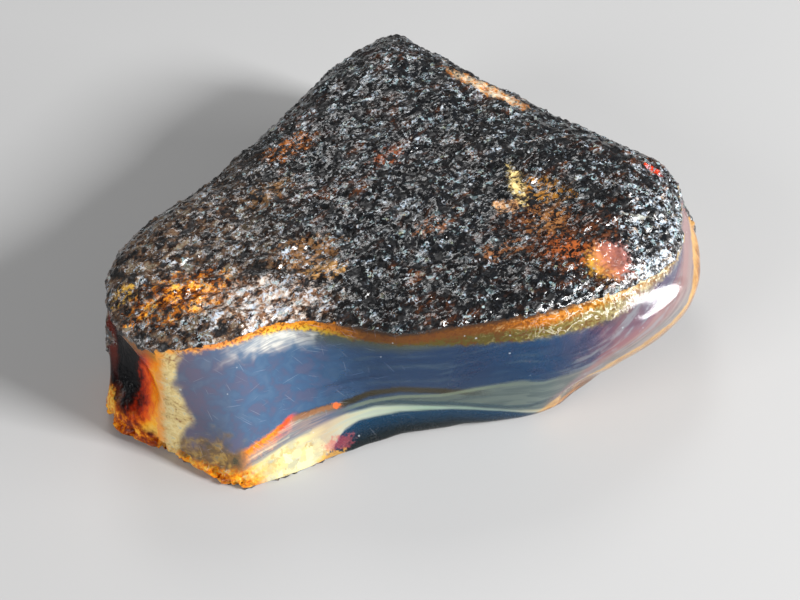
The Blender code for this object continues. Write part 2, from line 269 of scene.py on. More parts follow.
class Bench:
    """A node tree being wired up."""

    def __init__(self, tree):
        self.tree = tree

    def node(self, kind, settings=None, feeds=(), take=0):
        """Makes a node: its settings, then the values or links of its sockets. Gives one of its outputs."""
        made = self.tree.nodes.new(kind)
        for name, value in (settings or {}).items():
            if name == "stops":
                self._stops(made.color_ramp, value)
            else:
                setattr(made, name, value)
        for key, value in feeds.items() if isinstance(feeds, dict) else enumerate(feeds):
            if isinstance(value, Tap):
                self.tree.links.new(value.socket, made.inputs[key])
            elif value is not None:
                made.inputs[key].default_value = value
        return Tap(self, made.outputs[take]) if len(made.outputs) else made

    def _stops(self, ramp, stops):
        while len(ramp.elements) < len(stops):
            ramp.elements.new(1.0)
        for element, (place, colour) in zip(ramp.elements, stops):
            element.position = place
            element.color = (*colour, 1.0)

    def most(self, a, b):
        return self.node("ShaderNodeMath", {"operation": "MAXIMUM"}, (a, b))

    def ease(self, value, low, high):
        """0 at low and 1 at high, smooth between."""
        steps = {"interpolation_type": "SMOOTHSTEP"}
        return self.node("ShaderNodeMapRange", steps, (value, low, high, 0.0, 1.0))

    def vector(self, operation, a, b=None, scale=None, take=0):
        feeds = {0: a, 1: b}
        if scale is not None:
            feeds["Scale"] = scale
        return self.node("ShaderNodeVectorMath", {"operation": operation}, feeds, take)

    def noise(self, where, scale, detail=2.0, rough=0.5, warp=0.0):
        """Cloudy noise from 0 to 1, with about 0.5 in the middle."""
        feeds = {"Vector": where, "Scale": scale, "Detail": detail, "Roughness": rough, "Distortion": warp}
        return self.node("ShaderNodeTexNoise", {}, feeds)

    def cells(self, where, scale):
        """Distance to the middle of the nearest of a heap of cells."""
        return self.node("ShaderNodeTexVoronoi", {}, {"Vector": where, "Scale": scale}, "Distance")


# ---- relief of the crust ----

RELIEF = {
    "Lump Size": 3.2,
    "Lump Height": 0.42,
    "Flake Length": 3.4,
    "Flake Width": 0.95,
    "Flake Height": 0.42,
    "Grain Size": 0.66,
    "Grain Height": 0.22,
    "Crust Thickness": 0.14,
    "Step Raggedness": 0.8,
    "Chip Depth": 0.9,
}
FLAKE_TURN = math.radians(43.0)  # the way the flakes of the crust run, seen from above


def relief_tree():
    """Geometry nodes that raise the crust's lumps, flakes and grains off the skin."""
    tree = bpy.data.node_groups.new("crust relief", "GeometryNodeTree")
    tree.interface.new_socket("Skin", in_out="INPUT", socket_type="NodeSocketGeometry")
    for name, size in RELIEF.items():
        tree.interface.new_socket(name, in_out="INPUT", socket_type="NodeSocketFloat").default_value = size
    tree.interface.new_socket("Finish", in_out="INPUT", socket_type="NodeSocketMaterial")
    tree.interface.new_socket("Skin", in_out="OUTPUT", socket_type="NodeSocketGeometry")
    bench = Bench(tree)
    given = bench.node("NodeGroupInput")

    def guide(name):
        return bench.node("GeometryNodeInputNamedAttribute", {"data_type": "FLOAT"}, {"Name": name})

    place = bench.vector("SCALE", bench.node("GeometryNodeInputPosition"), scale=1.0 / MM)
    normal = bench.node("GeometryNodeInputNormal")
    edge = bench.noise(place, 1.1, 3.0, 0.6) - 0.5
    fine = bench.noise(place, 3.2, 3.0, 0.6) - 0.5
    frayed = edge * given.other("Step Raggedness") * 2.0 + fine * 0.4
    bare = bench.most(guide("polish"), guide("end")) + frayed
    crust = bench.ease(bare, 0.15, -0.15)

    # Flakes lie along one direction on the top.
    turned = bench.node("ShaderNodeVectorRotate", {}, {"Vector": place, "Angle": -FLAKE_TURN})
    length = given.other("Flake Length")
    width = given.other("Flake Width")
    shape = bench.node("ShaderNodeCombineXYZ", {}, (length, width, width))
    flat = bench.vector("DIVIDE", turned, shape)
    flakes = bench.noise(flat, 1.0, 3.0, 0.55, 0.4)
    ridges = 1.0 - abs(flakes - 0.5) * 5.0
    broad = bench.vector("SCALE", place, scale=1.0 / given.other("Lump Size"))
    lumps = bench.noise(broad, 1.0, 3.0, 0.5) - 0.5
    small = bench.vector("SCALE", place, scale=1.0 / given.other("Grain Size"))
    cell = bench.cells(small, 1.0)
    chance = bench.node("ShaderNodeSeparateXYZ", {}, (cell.other("Color"),))
    grains = (1.0 - cell * 1.25) * (0.35 + chance)
    height = (
        lumps * 2.0 * given.other("Lump Height")
        + ridges * 0.5 * given.other("Flake Height")
        + (grains - 0.3) * given.other("Grain Height")
        + given.other("Crust Thickness")
    )

    # The foot of the broken left end is chipped all along its edge.
    y = bench.node("ShaderNodeSeparateXYZ", {}, (place,), "Y")
    x = y.other("X")
    z = y.other("Z")
    outside = BROKEN_WAY[0] * x + BROKEN_WAY[1] * y - BROKEN_OUT
    bites = bench.ease(bench.noise(place, 0.9, 3.0, 0.6), 0.44, 0.60)
    chips = bites * bench.ease(outside, -1.8, -0.4) * bench.ease(z, 2.9, 0.9) * bench.ease(x, -12.5, -15.0)
    rise = (height * crust - chips * given.other("Chip Depth")) * MM
    shift = bench.vector("SCALE", normal, scale=rise)
    risen = bench.node("GeometryNodeSetPosition", {}, {"Geometry": given.other("Skin"), "Offset": shift})
    real = bench.node("GeometryNodeRealizeInstances", {}, {"Geometry": risen})
    done = bench.node("GeometryNodeSetMaterial", {}, {"Geometry": real, "Material": given.other("Finish")})
    bench.node("NodeGroupOutput", {}, {"Skin": done})
    return tree


def socket_name(tree, name):
    """The identifier of a tree's named input."""
    return next(
        item.identifier
        for item in tree.interface.items_tree
        if item.item_type == "SOCKET" and item.in_out == "INPUT" and item.name == name
    )


def weigh(thing, name, weights):
    """A vertex group with one weight for each vertex, in 20 steps."""
    group = thing.vertex_groups.new(name=name)
    steps = np.round(np.clip(weights, 0.0, 1.0) * 20).astype(int)
    for step in range(1, 21):
        group.add(np.flatnonzero(steps == step).tolist(), step / 20, "REPLACE")
    return group


def rest_flat(mesh):
    """Lifts what the relief pushed under the floor."""
    points = points_of(mesh)
    points[:, 2] = np.maximum(points[:, 2], 0.0)
    put_points(mesh, points)


def drop_folds(mesh):
    """Takes away corners that only two faces share, because those two would lie back to back there."""
    work = bmesh.new()
    work.from_mesh(mesh)
    bmesh.ops.dissolve_verts(work, verts=[corner for corner in work.verts if len(corner.link_edges) == 2])
    work.to_mesh(mesh)
    work.free()


def shoulder(points, guides):
    """Where the border of the polish is rounded over: round the right end, and a little at the left."""
    x = points[:, 0]
    right = np.clip((x - 12.0) / 6.0, 0.0, 1.0)
    left = 0.5 * np.clip(1.0 - abs(x + 13.5) / 6.5, 0.0, 1.0)
    near = np.clip(1.6 - abs(guides["rim"] - 0.8) / 2.4, 0.0, 1.0)
    return np.maximum(right, left) * near * (points[:, 1] < 4.0)


def coarseness(points, guides):
    """How freely the skin may be thinned: least on the top, then the polished side, most underneath."""
    top = np.clip(0.5 - guides["rim"] / 4.0, 0.0, 1.0) * np.clip((points[:, 2] - 9.0) / 4.0, 0.0, 1.0)
    side = np.clip(0.5 + guides["polish"] / 2.0, 0.0, 1.0)
    under = np.clip(1.0 - points[:, 2] / 1.5, 0.0, 1.0)
    return np.clip(0.42 - 0.34 * top - 0.16 * side + 0.2 * under, 0.05, 1.0)


def build_lump(finish):
    lump = copy_of_solid()
    remesh = lump.modifiers.new("fine skin", "REMESH")
    remesh.mode = "VOXEL"
    remesh.voxel_size = CELL * MM
    settle(lump)
    put_points(lump.data, slump(points_of(lump.data)))

    # The polished side loses the flat faces of the solid. The crust keeps them under its relief.
    guides = guides_of(lump.data)
    height = points_of(lump.data)[:, 2]
    bare = np.maximum(guides["polish"], guides["end"])
    weigh(lump, "smooth", (0.25 + (bare + 0.6) / 1.2) * np.clip(0.1 + height / 3.0, 0.0, 1.0))
    weigh(lump, "shoulder", shoulder(points_of(lump.data), guides))
    for group, rounds in (("smooth", SMOOTH_ROUNDS), ("shoulder", SHOULDER_ROUNDS)):
        polish = lump.modifiers.new(group, "SMOOTH")
        polish.factor = 0.5
        polish.iterations = rounds
        polish.vertex_group = group
    settle(lump)

    guides_of(lump.data)
    tree = relief_tree()
    relief = lump.modifiers.new("crust relief", "NODES")
    relief.node_group = tree
    for name, size in RELIEF.items():
        relief[socket_name(tree, name)] = size
    relief[socket_name(tree, "Finish")] = finish
    settle(lump)

    rest_flat(lump.data)
    guides = guides_of(lump.data)
    weigh(lump, "coarse", coarseness(points_of(lump.data), guides))
    thin = lump.modifiers.new("thin", "DECIMATE")
    thin.ratio = min(1.0, FACES / sum(len(face.vertices) - 2 for face in lump.data.polygons))
    thin.vertex_group = "coarse"
    thin.vertex_group_factor = 1.0
    settle(lump)
    lump.vertex_groups.clear()
    drop_folds(lump.data)
    rest_flat(lump.data)
    guides_of(lump.data)
    lump.data.shade_smooth()
    return lump


# ---- finish: dark crust, hazy polished amber ----


class Paint(Bench):
    """The wiring of the stone's finish, with the numbers that most of its colours read."""

    def __init__(self, tree):
        super().__init__(tree)
        tree.nodes.clear()
        self.place = self.vector("SCALE", self.node("ShaderNodeTexCoord").other("Object"), scale=1.0 / MM)
        self.x = self.node("ShaderNodeSeparateXYZ", {}, (self.place,))
        self.y = self.x.other("Y")
        self.z = self.x.other("Z")
        self.ragged = self.noise(self.place, 1.1, 3.0, 0.6) - 0.5
        self.fine = self.noise(self.place, 3.2, 3.0, 0.6) - 0.5

    def guide(self, name):
        return self.node("ShaderNodeAttribute", {"attribute_name": name}, (), "Fac")

    def join(self, x, y, z):
        return self.node("ShaderNodeCombineXYZ", {}, (x, y, z))

    def blend(self, share, under, over, how="MIX"):
        """Lays one colour over another."""
        colours = [(*c, 1.0) if isinstance(c, tuple) else c for c in (under, over)]
        feeds = {0: share, 6: colours[0], 7: colours[1]}
        return self.node("ShaderNodeMix", {"data_type": "RGBA", "blend_type": how}, feeds, 2)

    def ramp(self, value, stops):
        """A colour ramp whose stops are given on the value's own scale."""
        low, high = stops[0][0], stops[-1][0]
        share = (value - low) / (high - low)
        scaled = [((place - low) / (high - low), colour) for place, colour in stops]
        return self.node("ShaderNodeValToRGB", {"stops": scaled}, (share,))

    def turned(self, degrees, stretch, centre=(0.0, 0.0, 0.0)):
        """The place seen from a centre, along a direction in plan, with its axes drawn out."""
        turn = (0.0, 0.0, math.radians(degrees))
        feeds = {"Vector": self.place, "Location": centre, "Rotation": turn, "Scale": stretch}
        return self.node("ShaderNodeMapping", {"vector_type": "TEXTURE"}, feeds)

    def patch(self, centre, radii, degrees=0.0, fray=1.0):
        """1 inside an ellipsoid and 0 outside, with a frayed edge."""
        local = self.turned(degrees, radii, centre)
        far = self.vector("LENGTH", local, take="Value")
        return self.ease(far + (self.ragged + self.fine) * fray, 1.15, 0.7)

    def between(self, value, low, rise, high, fall):
        """1 from low to high, easing over rise and fall."""
        return self.ease(value, low - rise, low + rise) * self.ease(value, high + fall, high - fall)


# Where the crust is thin or worn and its warm ground shows, from large to small:
# centre, radii and turn in plan of each patch, how much of it is covered by grains, and its colour.
PATCHES = [
    ((-9.2, -11.6, 17.0), (3.6, 2.3, 3.0), 25.0, 0.7, (0.26, 0.13, 0.05)),
    ((-7.6, -13.4, 17.0), (2.0, 1.2, 3.0), 10.0, 0.6, (0.50, 0.27, 0.09)),
    ((-11.8, 4.2, 16.0), (3.4, 2.0, 3.0), 45.0, 0.9, (0.40, 0.13, 0.02)),
    ((-13.6, -3.0, 17.0), (3.2, 1.6, 3.0), 40.0, 0.9, (0.22, 0.12, 0.05)),
    ((-2.0, 2.0, 17.0), (2.4, 1.4, 3.0), 40.0, 1.0, (0.22, 0.06, 0.02)),
    ((2.4, -8.0, 17.0), (2.0, 1.3, 3.0), 20.0, 1.0, (0.30, 0.12, 0.05)),
    ((13.8, -2.6, 17.0), (3.2, 1.8, 3.0), -10.0, 1.0, (0.42, 0.19, 0.03)),
    ((14.0, -6.8, 17.0), (2.2, 3.2, 3.0), -25.0, 1.05, (0.30, 0.13, 0.04)),
    ((11.1, -2.2, 17.0), (0.9, 2.9, 3.0), 8.0, 0.4, (0.78, 0.62, 0.26)),
    ((9.9, -5.2, 17.0), (1.3, 1.1, 3.0), 0.0, 0.5, (0.62, 0.34, 0.16)),
    ((9.2, -11.0, 17.0), (2.4, 1.3, 3.0), 20.0, 1.0, (0.24, 0.10, 0.04)),
    ((15.8, -10.8, 17.0), (2.9, 1.9, 3.0), -10.0, 1.0, (0.36, 0.09, 0.02)),
    ((25.3, 2.2, 15.0), (1.1, 0.5, 2.0), -35.0, 0.2, (0.85, 0.05, 0.01)),
    ((22.4, -5.7, 15.5), (2.3, 0.34, 2.0), 17.0, 0.3, (0.55, 0.60, 0.56)),
    ((-26.4, -15.8, 16.0), (1.8, 1.2, 2.0), 20.0, 1.0, (0.62, 0.36, 0.06)),
    ((-20.0, 2.0, 7.0), (6.0, 6.0, 3.4), 30.0, 0.9, (0.42, 0.15, 0.02)),
    ((-4.0, 20.0, 6.0), (5.0, 7.0, 3.0), 0.0, 0.8, (0.55, 0.20, 0.02)),
    ((17.0, 12.0, 8.0), (4.0, 5.0, 3.4), -30.0, 0.9, (0.34, 0.10, 0.02)),
    ((29.0, 4.0, 5.0), (4.0, 5.0, 3.0), 0.0, 0.7, (0.62, 0.30, 0.05)),
    ((4.0, 0.0, 0.0), (13.0, 6.0, 1.6), 35.0, 1.0, (0.30, 0.12, 0.02)),
]


def crust_shader(paint):
    """Black and brown flakes with pale slivers among them, partly painted glints, and painted shade in the
    pits, over a warm ground that shows in patches.
    """
    x, y = paint.x, paint.y
    broad = paint.noise(paint.place, 0.17, 3.0, 0.6)
    clumps = paint.noise(paint.place, 0.75, 3.0, 0.6, 0.4)
    swirl = paint.noise(paint.place, 1.3, 2.0, 0.5)
    flakes = paint.noise(paint.turned(43.0, (3.0, 0.9, 0.9)), 1.0, 4.0, 0.65, 0.5)
    mottle = paint.noise(paint.turned(43.0, (1.8, 1.0, 1.0)), 1.8, 4.0, 0.7)
    sway = paint.vector("SCALE", paint.vector("SUBTRACT", swirl.other("Color"), (0.5, 0.5, 0.5)), scale=1.5)

    # Two sizes of flakes, bent by the noise so that they end in slivers.
    small = paint.cells(paint.vector("ADD", paint.turned(43.0, (1.9, 0.85, 0.85)), sway), 2.6)
    small_chance = paint.node("ShaderNodeSeparateColor", {}, (small.other("Color"),))
    large = paint.cells(paint.vector("ADD", paint.turned(36.0, (2.3, 0.8, 0.8)), sway), 1.15)
    large_chance = paint.node("ShaderNodeSeparateColor", {}, (large.other("Color"),))
    contour = abs(mottle + (clumps - 0.5) * 0.5 - 0.5)

    # The warm side is at the left front. The front edge there is worn pale and carries a painted sheen of
    # glints; the right end has more painted glints where it faces the light.
    left = paint.ease(x * 0.8 + y * 0.35 + paint.ragged * 8.0, -8.0, -21.0)
    rust = paint.patch((15.0, -8.8, 17.0), (5.6, 4.4, 3.0), -20.0, 2.2)
    blush = paint.patch((19.6, -11.3, 16.0), (2.5, 2.2, 2.8), 15.0, 0.9)
    glow = paint.patch((-20.4, -16.6, 16.0), (5.2, 2.6, 2.5), 20.0, 2.2)
    worn_sheen = paint.patch((-13.8, -17.4, 16.5), (6.8, 3.0, 2.5), 6.0, 1.6)
    sunlit_end_glints = paint.patch((25.0, -6.4, 14.5), (4.6, 7.5, 4.0), -30.0, 1.4)
    thin_edge = paint.patch((8.6, 14.2, 15.0), (5.6, 1.4, 3.0), -32.0, 1.0)
    dark_front = paint.patch((5.0, -16.0, 17.0), (11.0, 3.6, 3.0), 5.0, 1.2)

    ground = paint.ramp(
        broad * 0.5 + flakes * 0.6 + (clumps - 0.5) * 0.4,
        [
            (0.35, (0.003, 0.004, 0.006)), (0.56, (0.006, 0.007, 0.009)), (0.63, (0.030, 0.013, 0.008)),
            (0.70, (0.11, 0.036, 0.012)), (0.79, (0.22, 0.095, 0.024)),
        ],
    )
    warm_ground = paint.ramp(
        clumps + (mottle - 0.5) * 0.6,
        [
            (0.30, (0.010, 0.009, 0.010)), (0.45, (0.055, 0.045, 0.040)), (0.55, (0.16, 0.085, 0.045)),
            (0.65, (0.24, 0.20, 0.14)),
        ],
    )
    ground = paint.blend(left * 0.8, ground, warm_ground)
    rusted = rust * paint.ease(mottle + paint.fine, 0.38, 0.54)
    ground = paint.blend(rusted * 0.8, ground, (0.15, 0.050, 0.018))
    worn_sheen_ground = paint.blend(paint.ease(swirl, 0.4, 0.6), (0.26, 0.13, 0.07), (0.80, 0.70, 0.62))
    ground = paint.blend(worn_sheen * 0.9, ground, worn_sheen_ground)
    for centre, radii, turn, cover, colour in PATCHES:
        bare = paint.ease(mottle + paint.fine * 0.7, 0.24 + 0.22 * cover, 0.34 + 0.24 * cover)
        ground = paint.blend(paint.patch(centre, radii, turn, 1.5) * bare, ground, colour)
    ember = paint.ramp(
        paint.fine + (clumps - 0.5) * 1.2,
        [
            (-0.3, (0.04, 0.012, 0.004)), (-0.08, (0.42, 0.11, 0.008)), (0.06, (0.95, 0.34, 0.015)),
            (0.24, (1.0, 0.66, 0.12)),
        ],
    )
    ground = paint.blend(glow * paint.ease(mottle, 0.30, 0.44), ground, ember)
    chips = paint.ramp(
        paint.ragged + paint.fine * 0.5,
        [
            (-0.25, (0.12, 0.04, 0.01)), (-0.10, (0.70, 0.25, 0.04)), (0.03, (0.86, 0.66, 0.42)),
            (0.2, (0.95, 0.88, 0.74)),
        ],
    )
    ground = paint.blend(thin_edge * 0.9, ground, chips)
    blush_ground = paint.ramp(
        paint.fine * 0.8 + (x - 19.6) * 0.16 + (y + 11.3) * 0.10,
        [
            (-0.45, (0.60, 0.34, 0.04)), (-0.2, (0.64, 0.26, 0.07)), (0.05, (0.52, 0.18, 0.12)),
            (0.35, (0.40, 0.16, 0.14)),
        ],
    )
    ground = paint.blend(blush * 0.92, ground, blush_ground)
    tone = paint.ramp(
        mottle + (small_chance.other("Blue") - 0.5) * 0.35 + paint.fine * 0.3,
        [(0.34, (0.12, 0.08, 0.07)), (0.48, (0.62, 0.56, 0.50)), (0.66, (1.1, 1.1, 1.1))],
    )
    ground = paint.blend(1.0 - paint.most(blush, thin_edge) * 0.7, ground, tone, "MULTIPLY")

    # Each flake has a lightness of its own, and there are more light ones where the crust is busy. The light
    # flakes and threads are partly painted glints.
    crowd = paint.ease(clumps * 0.6 + swirl * 0.4, 0.38, 0.62)
    busy = (
        (broad - 0.5) * 0.25 + (crowd - 0.5) * 0.40 + left * 0.01 + worn_sheen * 0.27 + sunlit_end_glints * 0.34
        + paint.ease(y + x * 0.4, 4.0, 15.0) * 0.07 - dark_front * 0.03 - rust * 0.34 - 0.085
    )
    shades = [
        (place, (shade, shade, shade))
        for place, shade in ((0.52, 0.0), (0.66, 0.025), (0.78, 0.08), (0.87, 0.26), (0.96, 1.0))
    ]
    small_body = paint.ease(small + paint.fine * 0.7, 0.60, 0.32)
    large_body = paint.ease(large + paint.fine * 0.7, 0.56, 0.30)
    small_glints = paint.ramp(small_chance + busy, shades) * small_body
    large_glints = paint.ramp(large_chance + busy * 0.9 - 0.07, shades) * large_body
    threads = paint.ease(contour, 0.034, 0.010) * paint.ease(clumps + busy * 0.5, 0.50, 0.66)
    light = paint.most(paint.most(small_glints * 0.66, large_glints * 0.78), threads * 0.7)
    pale = paint.ramp(
        small_chance.other("Green") * 0.5 + (swirl - 0.5) * 1.4 + (clumps - 0.5) * 0.8 + 0.26 - left * 0.13,
        [
            (0.0, (0.50, 0.30, 0.18)), (0.2, (0.66, 0.50, 0.36)), (0.36, (0.72, 0.74, 0.78)),
            (0.5, (0.52, 0.66, 0.82)), (0.62, (0.88, 0.90, 0.92)), (0.75, (0.26, 0.46, 0.52)),
            (0.88, (0.60, 0.70, 0.68)), (1.0, (0.44, 0.48, 0.32)),
        ],
    )
    pale = paint.blend(glow * 0.7, pale, (0.95, 0.58, 0.24))
    covered = 1.0 - paint.most(paint.most(blush, thin_edge * 0.7), glow * 0.5) * 0.9
    colour = paint.blend(light * covered, ground, pale)
    # Painted shade in the pits between the flakes.
    pit_shade = paint.ease(mottle * 0.8 + (clumps - 0.5) * 0.6 + (swirl - 0.5) * 0.3 + 0.1, 0.46, 0.36) * covered
    colour = paint.blend(pit_shade * 0.9, colour, (0.003, 0.003, 0.004))

    tilt = paint.vector("SUBTRACT", small.other("Color"), (0.5, 0.5, 0.5))
    height = mottle * 1.2 + flakes * 1.0
    bumped = paint.node("ShaderNodeBump", {}, {"Strength": 0.8, "Distance": 0.05 * MM, "Height": height})
    normal = paint.vector("NORMALIZE", paint.vector("ADD", bumped, paint.vector("SCALE", tilt, scale=0.22)))
    rough = 0.07 + small_chance.other("Blue") * 0.12 + pit_shade * 0.3
    return paint.node(
        "ShaderNodeBsdfPrincipled",
        {},
        {"Base Color": colour, "Roughness": rough, "Normal": normal, "Specular IOR Level": 0.62},
    )


def scratches(paint, along, rim):
    """Fine scratches in the polish: a few bundles of hairlines, each at its own angle."""
    found = None
    for turn, length, width, seed, cut in (
        (-52.0, 0.30, 7.0, 3.0, 0.70),
        (-8.0, 0.35, 8.0, 11.0, 0.71),
        (24.0, 0.30, 8.0, 17.0, 0.71),
        (-78.0, 0.26, 6.0, 29.0, 0.73),
    ):
        c, s = math.cos(math.radians(turn)), math.sin(math.radians(turn))
        run = along * c - rim * s
        side = along * s + rim * c
        line = paint.ease(
            paint.noise(paint.join(run * length, side * width, seed), 1.0, 1.0, 0.5), cut, cut + 0.05
        )
        found = line if found is None else paint.most(found, line)
    return found


def window_colour(paint):
    """The polished side: blue haze, cream and teal bands, a brown seam, an orange border under the crust.

    Gives its colour and how much of the surface is haze, the rest being clear amber.
    """
    x, z = paint.x, paint.z
    rim = paint.guide("rim")
    along = paint.guide("along")
    haze_top = paint.guide("haze_top")
    streaks = paint.noise(paint.join(along * 0.13, haze_top * 1.0, 0.0), 1.0, 4.0, 0.6, 0.4)
    clouds = paint.noise(paint.place, 0.5, 4.0, 0.62, 0.8)
    wisps = paint.noise(paint.place, 1.3, 4.0, 0.65, 1.2)

    colour = paint.ramp(
        x + (clouds - 0.5) * 7.0,
        [
            (-25.0, (0.15, 0.15, 0.21)), (-20.0, (0.11, 0.13, 0.21)), (-14.0, (0.072, 0.150, 0.28)),
            (-9.0, (0.046, 0.12, 0.25)), (-3.0, (0.016, 0.052, 0.13)), (6.0, (0.008, 0.034, 0.095)),
            (13.0, (0.008, 0.050, 0.13)), (17.0, (0.05, 0.060, 0.12)), (21.0, (0.18, 0.095, 0.12)),
            (26.0, (0.11, 0.10, 0.15)), (30.0, (0.10, 0.095, 0.13)),
        ],
    )
    left = paint.ease(x, -4.0, -11.0)
    soft = paint.noise(paint.place, 0.7, 2.0, 0.5, 0.4)
    violet = paint.ease(soft + (wisps - 0.5) * 0.12, 0.42, 0.64) * left
    colour = paint.blend(violet * 0.40, colour, (0.18, 0.120, 0.17))
    milky = paint.ease(soft + (wisps - 0.5) * 0.12, 0.56, 0.22) * left
    colour = paint.blend(milky * 0.20, colour, (0.22, 0.31, 0.40))
    right = 1.0 - left
    light = paint.ease(streaks, 0.50, 0.72) * right
    colour = paint.blend(light * 0.5, colour, (0.08, 0.13, 0.17))
    dark = paint.ease(streaks, 0.46, 0.30) * right
    colour = paint.blend(dark * 0.55, colour, (0.006, 0.018, 0.06))

    # Under the orange border the blue turns olive.
    olive = paint.ease(rim + paint.ragged * 0.8, 3.4, 1.6) * paint.between(x, -9.0, 2.0, 21.0, 4.0)
    colour = paint.blend(olive * 0.75, colour, (0.085, 0.095, 0.045))

    # The grey band, the thin teal line in it, the cream band and the deep foot.
    cream_top = paint.guide("cream_top")
    cream_foot = paint.guide("cream_foot")
    grey = paint.ease(haze_top + (streaks - 0.5) * 0.9, 0.35, -0.5) * paint.ease(x, -7.0, -1.0)
    grey_colour = paint.ramp(
        x,
        [
            (-8.0, (0.09, 0.13, 0.11)), (4.0, (0.13, 0.17, 0.14)), (14.0, (0.20, 0.25, 0.22)),
            (19.0, (0.32, 0.27, 0.24)), (26.0, (0.32, 0.28, 0.26)),
        ],
    )
    grey_colour = paint.blend(paint.ease(streaks, 0.42, 0.6) * 0.6, grey_colour, (0.07, 0.10, 0.10))
    colour = paint.blend(grey * 0.85, colour, grey_colour)
    teal = paint.ease(abs(paint.guide("teal")), 0.45, 0.08) * paint.between(x, -3.5, 2.0, 14.0, 1.5)
    colour = paint.blend(teal * 0.8, colour, (0.035, 0.075, 0.10))
    layers = paint.noise(paint.join(along * 0.10, cream_top * 1.7, 3.0), 1.0, 3.0, 0.55, 0.3)
    deep = paint.ease(cream_foot + (layers - 0.5) * 0.5, 0.12, -0.22) * paint.ease(x, -9.5, -6.8)
    deep_colour = paint.ramp(
        cream_foot + (layers - 0.5) * 0.8,
        [
            (-3.4, (0.001, 0.004, 0.004)), (-2.0, (0.001, 0.010, 0.016)), (-0.8, (0.001, 0.036, 0.085)),
            (0.0, (0.002, 0.055, 0.13)),
        ],
    )
    colour = paint.blend(deep, colour, deep_colour)
    cream = paint.ease(cream_top + (layers - 0.5) * 0.7, 0.2, -0.3) * paint.ease(
        cream_foot + (layers - 0.5) * 0.5, -0.15, 0.3
    )
    cream_colour = paint.ramp(
        x + (layers - 0.5) * 5.0,
        [
            (-18.0, (0.62, 0.28, 0.06)), (-15.0, (0.80, 0.55, 0.20)), (-12.0, (0.84, 0.74, 0.34)),
            (-8.0, (0.48, 0.38, 0.25)), (-4.0, (0.46, 0.50, 0.36)), (2.0, (0.27, 0.38, 0.29)),
            (10.0, (0.22, 0.31, 0.28)), (15.0, (0.50, 0.38, 0.20)),
        ],
    )
    curls = paint.noise(paint.join(x * 0.5, cream_top * 1.3 + x * 0.45, 7.0), 1.0, 3.0, 0.55, 0.6)
    cream_colour = paint.blend(paint.ease(layers, 0.46, 0.60) * 0.5, cream_colour, (0.34, 0.40, 0.38))
    cream_colour = paint.blend(
        paint.ease(curls, 0.44, 0.66) * paint.ease(x, -6.0, -10.0) * 0.5, cream_colour, (0.28, 0.30, 0.28)
    )
    colour = paint.blend(cream, colour, cream_colour)
    bent = paint.vector("SCALE", paint.join(wisps, clouds, wisps), scale=2.0)
    facets = paint.cells(paint.vector("ADD", paint.place, bent), 1.1)
    facet = paint.node("ShaderNodeSeparateXYZ", {}, (facets.other("Color"),))
    facet_colour = paint.ramp(
        facet,
        [
            (0.1, (0.44, 0.28, 0.08)), (0.35, (0.76, 0.64, 0.26)), (0.6, (0.94, 0.86, 0.48)),
            (0.9, (0.50, 0.47, 0.28)),
        ],
    )
    cracked = paint.patch((-10.3, -25.0, 1.6), (3.6, 4.0, 1.5), 0.0, 1.6)
    colour = paint.blend(cracked * 0.62 * paint.ease(cream_foot, -0.6, 0.2), colour, facet_colour)
    rose = paint.patch((-6.3, -23.4, 2.1), (1.5, 3.0, 0.75), 0.0, 1.6)
    colour = paint.blend(rose * 0.62, colour, (0.46, 0.08, 0.10))
    chip = paint.patch((-7.4, -23.9, 0.7), (1.6, 3.0, 0.8), 0.0, 1.2)
    colour = paint.blend(chip * 0.85, colour, (0.80, 0.42, 0.08))

    # The seam: a thin brown thread with orange and red beads on its left half.
    seam = paint.guide("seam")
    thread = paint.ease(abs(seam + 0.1 + paint.fine * 0.5), 0.75, 0.22)
    thread *= paint.between(x, -10.5, 1.0, 6.5, 3.0)
    colour = paint.blend(thread * 0.95, colour, (0.038, 0.028, 0.005))
    ledge = paint.ease(abs(haze_top + 0.45 + paint.fine * 0.2), 0.42, 0.1)
    ledge *= paint.between(x, -6.0, 2.0, 10.0, 4.0)
    colour = paint.blend(ledge * 0.6, colour, (0.26, 0.32, 0.22))
    ember = paint.ease(abs(seam + 0.15 + paint.fine * 0.7 + paint.ragged * 0.9), 1.0, 0.45)
    ember *= paint.between(x, -15.8, 0.6, -10.8, 0.5)
    redder = paint.ease(x + paint.fine * 3.0, -12.8, -11.6)
    ember_colour = paint.blend(redder, (0.92, 0.27, 0.02), (0.88, 0.08, 0.03))
    ember_colour = paint.blend(paint.ease(paint.fine, 0.06, -0.12) * 0.7, ember_colour, (0.45, 0.10, 0.01))
    colour = paint.blend(ember, colour, ember_colour)
    halo = paint.ease(seam + paint.fine * 0.8, 0.2, -0.5) * paint.ease(cream_top, -0.6, 0.3)
    halo *= paint.between(x, -15.5, 1.0, -7.0, 2.0)
    halo_colour = paint.ramp(
        layers + (streaks - 0.5) * 0.3,
        [
            (0.35, (0.20, 0.19, 0.22)), (0.46, (0.46, 0.34, 0.27)), (0.54, (0.28, 0.27, 0.27)),
            (0.64, (0.66, 0.58, 0.42)),
        ],
    )
    colour = paint.blend(halo * 0.75, colour, halo_colour)
    rusty = paint.ease(abs(seam + paint.fine * 0.6), 0.50, 0.12) * paint.between(x, -11.0, 0.5, -6.2, 0.3)
    colour = paint.blend(rusty * 0.85, colour, (0.40, 0.18, 0.08))
    bead = paint.patch((-6.7, -21.5, 6.0), (0.55, 3.0, 0.42), 0.0, 1.8)
    colour = paint.blend(bead, colour, (0.95, 0.20, 0.05))
